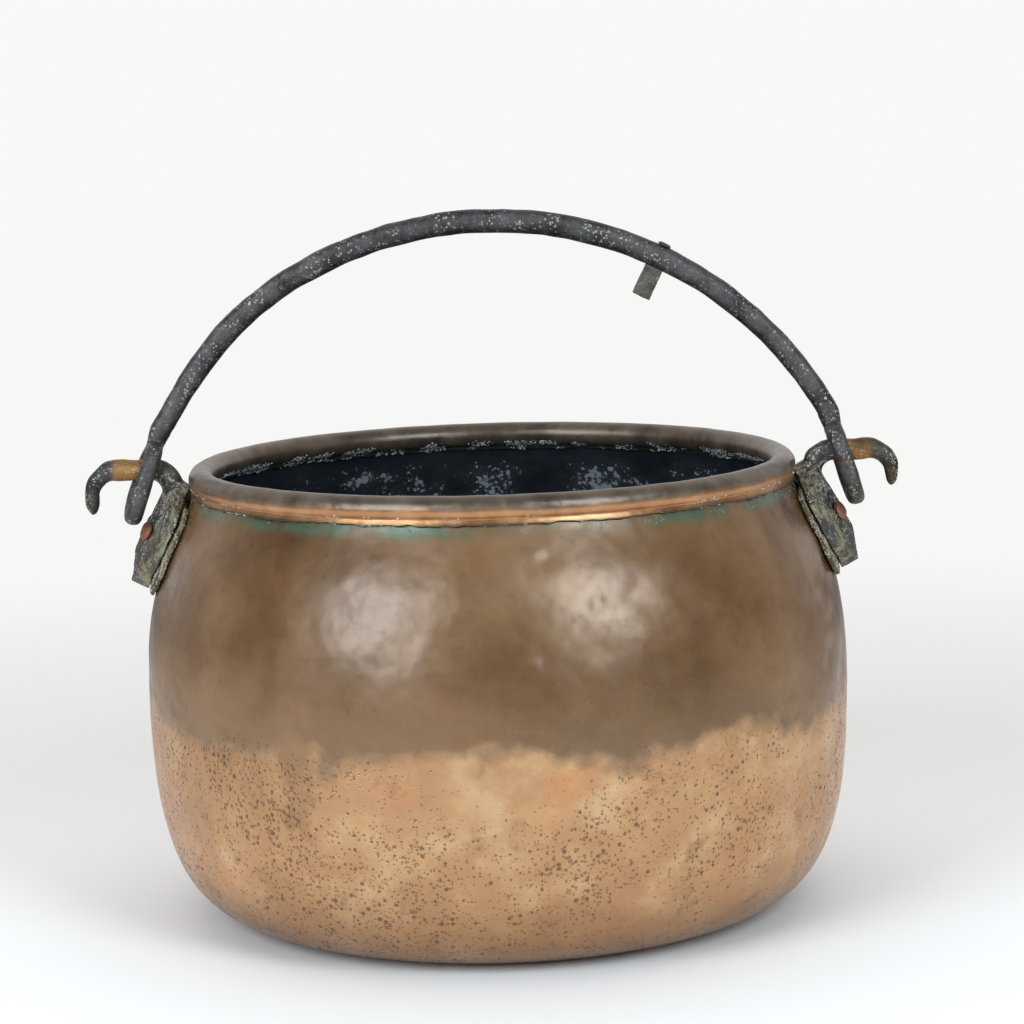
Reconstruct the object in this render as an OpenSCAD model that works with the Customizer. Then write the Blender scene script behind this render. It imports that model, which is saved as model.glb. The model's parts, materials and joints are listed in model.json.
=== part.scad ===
// Round copper cauldron: a raised copper body with a wired rim, two forged
// iron lugs riveted to its shoulder, and an iron bail that swings on their hooks.
// Sizes are in millimetres. The origin is the centre of the flat underside,
// X runs through the two lugs, Z is up.

/* [Copper body] */
// Widest diameter of the body
belly_d = 450; // [320:1:600]
// Height of the widest point above the underside
belly_z = 148; // [100:1:220]
// Diameter of the flat underside
foot_d = 286; // [180:1:380]
// Thickness of the copper
wall_t = 2; // [1.2:0.1:4]

/* [Rim] */
// Diameter of the rim, measured at the centre of its wire
rim_d = 372.6; // [260:0.2:500]
// Height of the centre of the rim wire
rim_z = 281; // [220:1:380]
// Inward lean of the neck just under the rim
neck_lean = 24.6; // [10:0.1:35]
// Diameter of the iron wire inside the rim
wire_d = 12.6; // [6:0.2:20]
// Thickness of the copper strip folded over the wire
band_t = 1.8; // [1:0.1:3]
// Height of the strip's two lips below the wire
lip_h = 6; // [3:0.5:12]

/* [Lug plates] */
// Distance of the rivets below the centre of the rim wire
lug_drop = 34; // [28:0.5:50]
// Thickness of the packing plate behind each lug
pad_t = 3; // [1.5:0.1:5]
// Width of the packing plate
pad_w = 112; // [80:1:140]
// Width of the lug
lug_w = 100; // [70:1:120]
// Height of the lug above its rivets
lug_up = 27; // [20:1:30]
// Depth of the lug below its rivets
lug_down = 40; // [30:1:60]
// Standing height of the lug's middle ridge above the body
ridge_h = 18; // [14:0.5:26]
// Width of the flat on the ridge
ridge_w = 24; // [12:1:40]
// Fall of the lug's two flanks away from the ridge
flank_slope = 24; // [10:1:30]

/* [Hooks] */
// Thickness of the hook's round arm
arm_d = 15; // [10:0.5:20]
// Radius of the bend from the lug up to the arm, at the bar's centre
neck_bend_r = 14; // [11:0.5:20]
// Length of the level part of the arm
arm_len = 22; // [16:0.5:40]
// Radius of the bend down to the hook's tip, at the bar's centre
hook_bend_r = 16; // [12:0.5:24]
// Length of the straight end below the hook's bend
tip_len = 3; // [0:0.5:20]

/* [Bail] */
// Thickness of the bail's bar
bail_d = 16; // [10:0.5:22]
// Height of the bail's top above the hooks it swings on
bail_rise = 160.5; // [120:0.5:240]
// Thickness of the bar round the eyes
eye_bar_d = 11.5; // [8:0.5:16]
// Space between the eye and the arm inside it
eye_play = 1.5; // [0.8:0.1:4]
// Straight length between the two round ends of the eye
eye_drop = 17; // [8:0.5:30]
// Lean of the eyes outward
eye_lean = 17; // [8:0.5:25]
// Distance of the eye from the bend of the arm
eye_gap = 5; // [3:0.5:10]

/* [Peg] */
// Turn of the peg along the bail, away from the top
peg_turn = 26.5; // [15:0.5:40]
// Length of the peg under the bar
peg_len = 20; // [10:1:40]
// Width of the peg along the bar
peg_w = 12; // [8:0.5:16]
// Thickness of the peg across the bar
peg_t = 9; // [6:0.5:14]
// Diameter of the peg's shank through the bar
shank_d = 7; // [4:0.5:9]

/* [Rivets] */
// Diameter of the rivets
rivet_d = 8; // [5:0.5:10]
// Diameter of the rivet heads
head_d = 13; // [10:0.5:18]
// Height of the rivet heads
head_h = 4; // [2:0.5:6]
// Distance of each rivet from the middle of the lug
rivet_y = 20; // [14:0.5:30]
// Distance of the rivets under the lug's reference height
rivet_low = 5; // [0:0.5:12]

/* [Fit] */
// Space left where copper and iron are clenched together
seat = 0.05; // [0.02:0.01:0.2]

/* [Hidden] */
$fn = 96;

copper = [0.62, 0.40, 0.24];
dark_copper = [0.50, 0.33, 0.22];
iron = [0.27, 0.25, 0.25];
crust = [0.55, 0.54, 0.38];

// Steps in each half of the body's section.
curve_steps = 24;
// How far the shaping blocks run past what they cut or meet.
past = 1;

// The rim: the wire's radius with its seat, the folded strip's, and the line
// that the wall follows into the wire.
wire_r = wire_d / 2;
wire_seat = wire_r + seat;
bead_r = wire_seat + band_t;
rim_r = rim_d / 2;
neck_dir = [-sin(neck_lean), cos(neck_lean)];
neck_out = [cos(neck_lean), sin(neck_lean)];

// Point on the wall's outer face, this far below the wire's centre.
function neck_at(down) = [rim_r, rim_z] - down * neck_dir + wall_t / 2 * neck_out;

// The straight neck reaches a little below the strip's lips.
neck_start = neck_at(wire_r + lip_h + 2);
belly_r = belly_d / 2;
foot_r = foot_d / 2;
// Handles of the two curves of the section, as shares of their heights.
foot_pull = 0.76;
belly_pull_down = 0.757;
belly_pull_up = 0.67;
neck_pull = 0.2;

lower_curve = [
    [foot_r, 0],
    [foot_r + foot_pull * (belly_r - foot_r), 0],
    [belly_r, belly_z * (1 - belly_pull_down)],
    [belly_r, belly_z]
];
neck_h = neck_start[1] - belly_z;
upper_curve = [
    [belly_r, belly_z],
    [belly_r, belly_z + belly_pull_up * neck_h],
    neck_start - neck_pull * neck_h * neck_dir,
    neck_start
];

function on_curve(c, t) =
    pow(1 - t, 3) * c[0] + 3 * pow(1 - t, 2) * t * c[1]
    + 3 * (1 - t) * t * t * c[2] + pow(t, 3) * c[3];
function along_curve(c, t) =
    pow(1 - t, 2) * (c[1] - c[0]) + 2 * (1 - t) * t * (c[2] - c[1])
    + t * t * (c[3] - c[2]);
function outward(d) = [d[1], -d[0]] / norm(d);

// Points beside one curve of the section, at this distance outside it.
function beside(c, off, first = 0) = [
    for (i = [first : curve_steps])
        on_curve(c, i / curve_steps) + off * outward(along_curve(c, i / curve_steps))
];
function neck_end(off) = neck_at(wire_seat) + off * neck_out;
function whole_wall(off) =
    concat(beside(lower_curve, off), beside(upper_curve, off, 1), [neck_end(off)]);
function shoulder(off) = concat(beside(upper_curve, off), [neck_end(off)]);
function backwards(pts) = [for (i = [len(pts) - 1 : -1 : 0]) pts[i]];

// The lugs lie on the shoulder: their reference point and its slope.
lug_z = rim_z - lug_drop;
shoulder_table = [for (p = shoulder(0)) [p[1], p[0]]];
lug_r = lookup(lug_z, shoulder_table);
slope_step = 4;
lug_tilt = atan((lookup(lug_z - slope_step, shoulder_table)
    - lookup(lug_z + slope_step, shoulder_table)) / (2 * slope_step));

// Circle through three points of the wall behind the lug. The packing plate's
// face and the lug's back both follow it.
function wall_at(z) = [lookup(z, shoulder_table), z];
function middle(a, b) = (a + b) / 2;
function circle_centre(a, b, c) =
    let (
        m = middle(a, b), n = middle(b, c), d = b - a, e = c - b,
        det = d[0] * e[1] - d[1] * e[0],
        p = m * d, q = n * e
    )
    [(p * e[1] - q * d[1]) / det, (q * d[0] - p * e[0]) / det];
back_high = wall_at(lug_z + 20);
back_mid = wall_at(lug_z - 8);
back_low = wall_at(lug_z - 36);
back_centre = circle_centre(back_high, back_mid, back_low);
back_r = norm(back_mid - back_centre);
bed_gap = 0.25;

// From the lug's own frame (out from the wall, up along it) to X and Z.
function lug_point(out, up) = [
    lug_r + out * cos(lug_tilt) - up * sin(lug_tilt),
    lug_z + out * sin(lug_tilt) + up * cos(lug_tilt)
];

// The hook: its neck leaves the plate, bends over to the level arm, then down.
arm_r = arm_d / 2;
neck_out_of_plate = 10.2;
neck_up = 16;
neck_foot = lug_point(neck_out_of_plate, neck_up);
neck_centre = neck_foot + neck_bend_r * [cos(lug_tilt), sin(lug_tilt)];
pivot_z = neck_centre[1] + neck_bend_r;
arm_start = neck_centre[0];
arm_end = arm_start + arm_len;

// The eyes hang on the arms.
eye_r = arm_r + eye_play + eye_bar_d / 2;
eye_x = arm_start + eye_gap;
stem_len = 12;
weld_swell = 2;
// Spin of the round sections, so that their seams don't meet.
seam_turn = 35;
stem_top = eye_r + stem_len;
leg_top_x = eye_x - stem_top * sin(eye_lean);
leg_top_z = stem_top * cos(eye_lean);

// The bail is one arc from stem to stem, through its stated rise.
rise = bail_rise - bail_d / 2 - leg_top_z;
arc_r = (leg_top_x * leg_top_x + rise * rise) / (2 * rise);
arc_z = pivot_z + bail_rise - bail_d / 2 - arc_r;
arc_turn = asin(leg_top_x / arc_r);
peg_at = [arc_r * sin(peg_turn), arc_z + arc_r * cos(peg_turn)];

// Section of the body, revolved.
module vessel() {
    color(copper)
    difference() {
        rotate_extrude()
            polygon(concat([[0, 0]], whole_wall(0), backwards(whole_wall(-wall_t)), [[0, wall_t]]));
        both_sides()
            rivet_holes();
    }
}

// Places a right-hand piece on the right, and turns a copy to the left.
module both_sides() {
    children();
    mirror([1, 0, 0])
        children();
}

module left_side() {
    mirror([1, 0, 0])
        children();
}

// The rim's own plane: origin at the wire's centre, Y along the neck.
module in_rim_section() {
    rotate_extrude()
        translate([rim_r, rim_z])
            rotate(neck_lean)
                children();
}

module rim_wire() {
    color(iron)
        in_rim_section()
            circle(r = wire_r, $fn = 48);
}

// Copper strip folded over the wire, with a lip down each face of the wall.
module rim_band() {
    lip_x = wall_t / 2 + seat + band_t;
    color(dark_copper)
    in_rim_section()
        difference() {
            union() {
                circle(r = bead_r, $fn = 64);
                translate([-lip_x, -wire_r - lip_h])
                    square([2 * lip_x, wire_r + lip_h]);
            }
            circle(r = wire_seat, $fn = 48);
            translate([-wall_t / 2 - seat, -wire_r - lip_h - past])
                square([wall_t + 2 * seat, wire_r + lip_h + past]);
        }
}

// The lug's own frame: X out from the wall, Z up along it.
module in_lug_frame() {
    translate([lug_r, 0, lug_z])
        rotate([0, -lug_tilt, 0])
            children();
}

// An outline in the lug's plane, given as half widths and heights.
module lug_slab(half, depth) {
    full = concat(half, [for (p = backwards(half)) [-p[0], p[1]]]);
    in_lug_frame()
        translate([-depth, 0, 0])
            rotate([90, 0, 90])
                linear_extrude(2 * depth)
                    polygon(full);
}

// Everything inside the body's outer face, grown by this distance.
module body_space(off) {
    rotate_extrude()
        polygon(concat([[0, belly_z]], shoulder(off), [[0, neck_end(off)[1]]]));
}

// The smooth round form that the back of the lug is bedded on.
module back_space(off) {
    rotate_extrude($fn = 360)
        intersection() {
            union() {
                translate(back_centre)
                    circle(r = back_r + off, $fn = 360);
                translate([0, back_centre[1] - back_r])
                    square([back_centre[0], 2 * back_r]);
            }
            translate([0, back_centre[1] - back_r])
                square([back_centre[0] + 2 * back_r, 2 * back_r]);
        }
}

// Clear round the folded rim.
module rim_space() {
    rim_gap = 0.3;
    in_rim_section()
        circle(r = bead_r + rim_gap, $fn = 64);
}

// Thin plate between the copper and the iron, shaped to the shoulder.
module lug_pad() {
    half_w = pad_w / 2;
    slab = 30;
    color(crust)
    difference() {
        intersection() {
            body_space(pad_t);
            lug_slab([
                [0.62 * half_w, 2 - lug_down],
                [0.86 * half_w, 9 - lug_down],
                [half_w, 20 - lug_down],
                [half_w, 6],
                [0.9 * half_w, 15],
                [0.78 * half_w, 21]
            ], slab);
        }
        body_space(seat);
        rivet_holes();
    }
}

// Long roof-shaped bar: a flat ridge with two falling flanks.
module ridge_bar(half_ridge) {
    reach = 80;
    edge_h = ridge_h - (reach - half_ridge) * tan(flank_slope);
    translate([0, 0, -reach])
        linear_extrude(2 * reach)
            polygon([
                [-reach, -reach],
                [edge_h, -reach],
                [ridge_h, -half_ridge],
                [ridge_h, half_ridge],
                [edge_h, reach],
                [-reach, reach]
            ]);
}

// Blank of the lug: the ridge falls away towards the lower end.
module lug_blank() {
    lower_from = -19;
    lower_fall = 20;
    wider = 1.5;
    in_lug_frame()
    intersection() {
        ridge_bar(ridge_w / 2);
        translate([ridge_h, 0, lower_from])
            rotate([0, lower_fall, 0])
                translate([-ridge_h, 0, 0])
                    ridge_bar(ridge_w / 2 + wider);
    }
}

// Block that carries the hook's neck up beside the rim.
module neck_block() {
    half_w = 14;
    block_out = 13;
    in_lug_frame()
        translate([0, -half_w, 0])
            cube([block_out, 2 * half_w, lug_up + 3]);
}

// Plate and hook are forged in one piece.
module lug() {
    half_w = lug_w / 2;
    slab = 40;
    color(iron)
    difference() {
        union() {
            intersection() {
                lug_blank();
                lug_slab([
                    [0.24 * half_w, -lug_down],
                    [0.56 * half_w, 8 - lug_down],
                    [0.88 * half_w, 21 - lug_down],
                    [half_w, 33 - lug_down],
                    [half_w, lug_up - 23],
                    [0.92 * half_w, lug_up - 11],
                    [0.6 * half_w, lug_up - 4],
                    [0.3 * half_w, lug_up]
                ], slab);
            }
            neck_block();
            hook();
        }
        back_space(pad_t + bed_gap);
        rim_space();
        rivet_holes();
    }
}

module hook() {
    // Bend from inside the plate up and over to the level arm.
    translate([neck_centre[0], 0, neck_centre[1]])
        rotate([90, 0, 0])
            rotate([0, 0, 90])
                bent_bar(neck_bend_r, arm_d, 90 + lug_tilt, 0);
    // Level arm that the eye hangs on.
    translate([arm_start, 0, pivot_z])
        rotate([0, 90, 0])
            cylinder(h = arm_len, r = arm_r, $fn = 48);
    // Bend down to the tip.
    translate([arm_end, 0, pivot_z - hook_bend_r])
        rotate([90, 0, 0])
            bent_bar(hook_bend_r, arm_d, 90, 0);
    translate([arm_end + hook_bend_r, 0, pivot_z - hook_bend_r])
        hook_tip();
}

// Rounded end of the hook, slightly upset.
module hook_tip() {
    tip_r = arm_r + 0.4;
    translate([0, 0, -tip_len])
        cylinder(h = tip_len + past, r = tip_r);
    translate([0, 0, -tip_len])
        mirror([0, 0, 1])
            dome(tip_r, tip_r);
}

// The rivets run in square to the flank, and are clenched flat to the wall.
clench_gap = 0.2;
flank_out = ridge_h - (rivet_y - ridge_w / 2) * tan(flank_slope);
rivet_run = (flank_out + wall_t + 2.5) / cos(flank_slope);
clench_turn = asin((rivet_y - rivet_run * sin(flank_slope)) / lug_r);
clench_wall = wall_at(lug_z - rivet_low * cos(lug_tilt));

// The rivets' own frame: on the flank, X out of the iron. side is 1 or -1.
module in_rivet_frame(side) {
    in_lug_frame()
        translate([flank_out, side * rivet_y, -rivet_low])
            rotate([0, 0, side * flank_slope])
                children();
}

module rivet_holes() {
    depth = 60;
    for (side = [-1, 1])
        in_rivet_frame(side)
            rotate([0, -90, 0])
                rotate([0, 0, seam_turn])
                    translate([0, 0, -past])
                        cylinder(h = depth, r = rivet_d / 2 + seat);
}

// Dome on the plane z = 0, with a small flat on top.
module dome(r, h) {
    steps = 6;
    last = 78;
    rotate_extrude()
        polygon(concat([[0, 0]], [
            for (i = [0 : steps])
                [r * cos(last * i / steps), h * sin(last * i / steps)]
        ], [[0, h * sin(last)]]));
}

// Round head: a low edge under a shallow dome.
module rivet_head(d, h) {
    edge = 0.3 * h;
    cylinder(h = edge, r = d / 2);
    translate([0, 0, edge])
        dome(d / 2, h - edge);
}

// Rivet with a set head outside and a clenched one against the inside wall.
module rivet(side) {
    clench_d = 0.92 * head_d;
    clench_h = 0.9 * head_h;
    color(dark_copper) {
        in_rivet_frame(side)
            rotate([0, 90, 0])
                rivet_head(head_d, head_h);
        in_rivet_frame(side)
            rotate([0, -90, 0])
                rotate([0, 0, seam_turn])
                    translate([0, 0, -past])
                        cylinder(h = rivet_run + past, r = rivet_d / 2);
        rotate([0, 0, side * clench_turn])
            translate([clench_wall[0], 0, clench_wall[1]])
                rotate([0, -lug_tilt, 0])
                    translate([-wall_t - clench_gap, 0, 0])
                        rotate([0, -90, 0])
                            rivet_head(clench_d, clench_h);
    }
}

// Round bar bent through part of a circle. turned spins its section.
module bent_bar(bend_r, d, angle, turned) {
    rotate_extrude(angle = angle)
        translate([bend_r, 0])
            rotate(turned)
                circle(d = d, $fn = 48);
}

// Round bar bent about the bail's centre, the same way to both sides.
module bail_arc(d, half_turn) {
    translate([0, 0, arc_z])
        rotate([90, 0, 0])
            rotate([0, 0, 90 - half_turn])
                bent_bar(arc_r, d, 2 * half_turn, seam_turn);
}

// Long closed eye round the arm, hanging from the stem.
module eye() {
    eye_bar_r = eye_bar_d / 2;
    translate([0, 0, eye_r])
        cylinder(h = stem_len, r1 = eye_bar_r, r2 = bail_d / 2);
    // Swelling of the weld where the eye meets the bar.
    translate([0, 0, eye_r + stem_len])
        rotate([seam_turn, 0, 0])
            sphere(d = bail_d + weld_swell);
    rotate([90, 0, 90])
        rotate_extrude(angle = 180)
            translate([eye_r, 0])
                circle(r = eye_bar_r, $fn = 48);
    for (side = [-1, 1])
        translate([0, side * eye_r, -eye_drop])
            cylinder(h = eye_drop, r = eye_bar_r);
    translate([0, 0, -eye_drop])
        rotate([-90, 0, 90])
            rotate_extrude(angle = 180)
                translate([eye_r, 0])
                    circle(r = eye_bar_r, $fn = 48);
}

module bail() {
    color(iron)
    difference() {
        union() {
            bail_arc(bail_d, arc_turn);
            both_sides()
                translate([eye_x, 0, pivot_z])
                    rotate([0, -eye_lean, 0])
                        eye();
        }
        in_peg_frame()
            translate([0, 0, -bail_d])
                cylinder(h = 2 * bail_d, r = shank_d / 2 + seat);
    }
}

// The peg's own frame: centre of the bar, Z outward through its back.
module in_peg_frame() {
    translate([peg_at[0], 0, peg_at[1]])
        rotate([0, peg_turn, 0])
            children();
}

// Square peg under the bar, its round shank riveted over on top.
module bail_peg() {
    collar = 0.6;
    burr_d = shank_d + 4;
    burr_h = 1.6;
    color(iron)
    difference() {
        in_peg_frame() {
            translate([-peg_w / 2, -peg_t / 2, -bail_d / 2 - peg_len])
                cube([peg_w, peg_t, peg_len + bail_d / 2]);
            cylinder(h = bail_d / 2 + past, r = shank_d / 2);
            translate([0, 0, bail_d / 2 - collar])
                cylinder(h = collar + burr_h, r1 = burr_d / 2, r2 = shank_d / 2);
        }
        difference() {
            bail_arc(bail_d + 2 * seat, 0.9 * arc_turn);
            in_peg_frame()
                translate([0, 0, -bail_d])
                    cylinder(h = 2 * bail_d, r = shank_d / 2);
        }
    }
}

vessel();
rim_wire();
rim_band();
left_side() lug_pad();  // left_lug_pad
lug_pad();  // right_lug_pad
left_side() lug();  // left_lug
lug();  // right_lug
left_side() rivet(-1);  // left_front_rivet
left_side() rivet(1);  // left_back_rivet
rivet(-1);  // right_front_rivet
rivet(1);  // right_back_rivet
bail();
bail_peg();
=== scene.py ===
import json
import math

import bmesh
import bpy
import numpy as np
from mathutils import Matrix, Vector
from mathutils import noise as solid_noise


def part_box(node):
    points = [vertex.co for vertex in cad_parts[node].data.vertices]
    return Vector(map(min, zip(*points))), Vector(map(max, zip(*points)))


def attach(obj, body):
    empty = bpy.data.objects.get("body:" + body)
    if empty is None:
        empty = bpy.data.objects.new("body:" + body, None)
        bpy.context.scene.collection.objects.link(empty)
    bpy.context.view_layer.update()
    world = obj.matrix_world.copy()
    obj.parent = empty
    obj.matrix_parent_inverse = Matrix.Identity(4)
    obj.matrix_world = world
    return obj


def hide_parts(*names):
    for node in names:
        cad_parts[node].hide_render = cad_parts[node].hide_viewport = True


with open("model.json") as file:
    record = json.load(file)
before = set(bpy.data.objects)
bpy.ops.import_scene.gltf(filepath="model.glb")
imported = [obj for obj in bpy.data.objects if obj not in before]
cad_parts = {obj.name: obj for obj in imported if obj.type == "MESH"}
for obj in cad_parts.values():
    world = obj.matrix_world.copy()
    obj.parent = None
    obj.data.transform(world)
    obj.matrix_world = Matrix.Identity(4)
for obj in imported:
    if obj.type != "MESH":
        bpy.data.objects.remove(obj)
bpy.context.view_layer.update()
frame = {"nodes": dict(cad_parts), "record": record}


# ---------------------------------------------------------------- node helpers
def socket(sockets, name):
    """The switched-on socket of that name, or of that place in the row."""
    if isinstance(name, int):
        return sockets[name]
    return [s for s in sockets if s.name == name and s.enabled][0]


class Nodes:
    """Short ways to add nodes to one tree."""

    def __init__(self, tree):
        self.tree = tree

    def add(self, kind, inputs=None, **settings):
        node = self.tree.nodes.new(kind)
        for key, value in settings.items():
            setattr(node, key, value)
        for name, value in (inputs or {}).items():
            self.put(socket(node.inputs, name), value)
        return node

    def put(self, into, value):
        if isinstance(value, bpy.types.NodeSocket):
            self.tree.links.new(value, into)
        else:
            into.default_value = value

    def math(self, operation, a, b=0.0, c=0.0):
        return self.add("ShaderNodeMath", {0: a, 1: b, 2: c}, operation=operation).outputs[0]

    def vector(self, operation, a, b=(0, 0, 0)):
        node = self.add("ShaderNodeVectorMath", {0: a, 1: b}, operation=operation)
        return node.outputs["Value" if operation in ("LENGTH", "DOT_PRODUCT") else "Vector"]

    def scaled(self, a, by):
        node = self.add("ShaderNodeVectorMath", {0: a, "Scale": by}, operation="SCALE")
        return node.outputs["Vector"]

    def apart(self, a):
        return self.add("ShaderNodeSeparateXYZ", {0: a}).outputs

    def together(self, x=0.0, y=0.0, z=0.0):
        return self.add("ShaderNodeCombineXYZ", {0: x, 1: y, 2: z}).outputs[0]

    def reach(self, place):
        """How far out from the Z axis."""
        x, y = self.math("MULTIPLY", place[0], place[0]), self.math("MULTIPLY", place[1], place[1])
        return self.math("SQRT", self.math("ADD", x, y))

    def elsewhere(self, at, seed):
        """The place moved far off, so that each seed gives its own pattern."""
        return self.vector("ADD", at, self.scaled((1.7, 0.9, 2.3), seed))

    def noise(self, at, scale, detail=3.0, rough=0.5, seed=0.0):
        node = self.add("ShaderNodeTexNoise", {"Vector": self.elsewhere(at, seed), "Scale": scale,
                                               "Detail": detail, "Roughness": rough})
        return node.outputs[0]

    def span(self, value, low, high, to_low=0.0, to_high=1.0, smooth=True):
        """value from low..high mapped to to_low..to_high, held at the ends."""
        node = self.add("ShaderNodeMapRange", {"Value": value, "From Min": low, "From Max": high,
                                               "To Min": to_low, "To Max": to_high})
        node.clamp = True
        node.interpolation_type = "SMOOTHSTEP" if smooth else "LINEAR"
        return node.outputs[0]

    def mix(self, share, a, b):
        node = self.add("ShaderNodeMix", data_type="RGBA")
        self.put(node.inputs["Factor"], share)
        for place, value in ((6, a), (7, b)):
            self.put(node.inputs[place], value)
        return node.outputs[2]

    def ramp(self, value, *stops):
        """A colour ramp of (place, colour) stops."""
        node = self.add("ShaderNodeValToRGB", {"Fac": value})
        bits = node.color_ramp.elements
        while len(bits) < len(stops):
            bits.new(0.5)
        for bit, (place, colour) in zip(bits, stops):
            bit.position = place
            bit.color = colour
        return node.outputs["Color"]

    def spots(self, at, size, share, seed=0.0, soft=0.25, rough=0.45):
        """Irregular round spots about size across, in that share of the cells."""
        bent = self.noise(at, 1.6 / size, 2.0, 0.5, seed)
        moved = self.vector("ADD", at, self.scaled(self.together(bent, bent, bent), rough * size))
        cells = self.add("ShaderNodeTexVoronoi", {"Vector": self.elsewhere(moved, seed),
                                                  "Scale": 1.0 / size})
        chance = self.apart(cells.outputs["Color"])
        reach = self.math("MULTIPLY", self.math("SUBTRACT", share, chance[0]), 1.2)
        inside = self.math("SUBTRACT", reach, cells.outputs["Distance"])
        return self.span(inside, 0.0, soft)


def shade(red, green, blue):
    return (red, green, blue, 1.0)


def new_material(name):
    material = bpy.data.materials.new(name)
    material.use_nodes = True
    nodes = Nodes(material.node_tree)
    shader = material.node_tree.nodes["Principled BSDF"]
    at = nodes.add("ShaderNodeTexCoord").outputs["Object"]
    return material, nodes, shader, at


def finish_material(nodes, shader, colour, metal, rough, heights, settings=None):
    """Links the finish. heights is a row of (height, strength, depth) bumps, coarse first."""
    nodes.put(shader.inputs["Base Color"], colour)
    nodes.put(shader.inputs["Metallic"], metal)
    nodes.put(shader.inputs["Roughness"], rough)
    for name, value in (settings or {}).items():
        shader.inputs[name].default_value = value
    normal = None
    for height, strength, depth in heights:
        bump = nodes.add("ShaderNodeBump", {"Height": height, "Strength": strength, "Distance": depth})
        if normal is not None:
            nodes.put(bump.inputs["Normal"], normal)
        normal = bump.outputs["Normal"]
    nodes.put(shader.inputs["Normal"], normal)


# ---------------------------------------------------------------- finishes
BROWN_DARK = shade(0.085, 0.036, 0.009)
BROWN = shade(0.170, 0.081, 0.027)
BROWN_PALE = shade(0.275, 0.150, 0.066)
GOLD_DEEP = shade(0.48, 0.265, 0.140)
GOLD = shade(0.55, 0.308, 0.158)
GOLD_PALE = shade(0.68, 0.440, 0.245)
ORANGE = shade(0.66, 0.27, 0.115)
PIT = shade(0.085, 0.045, 0.022)
VERDIGRIS = shade(0.075, 0.118, 0.066)
VERDIGRIS_PALE = shade(0.30, 0.42, 0.33)


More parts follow.
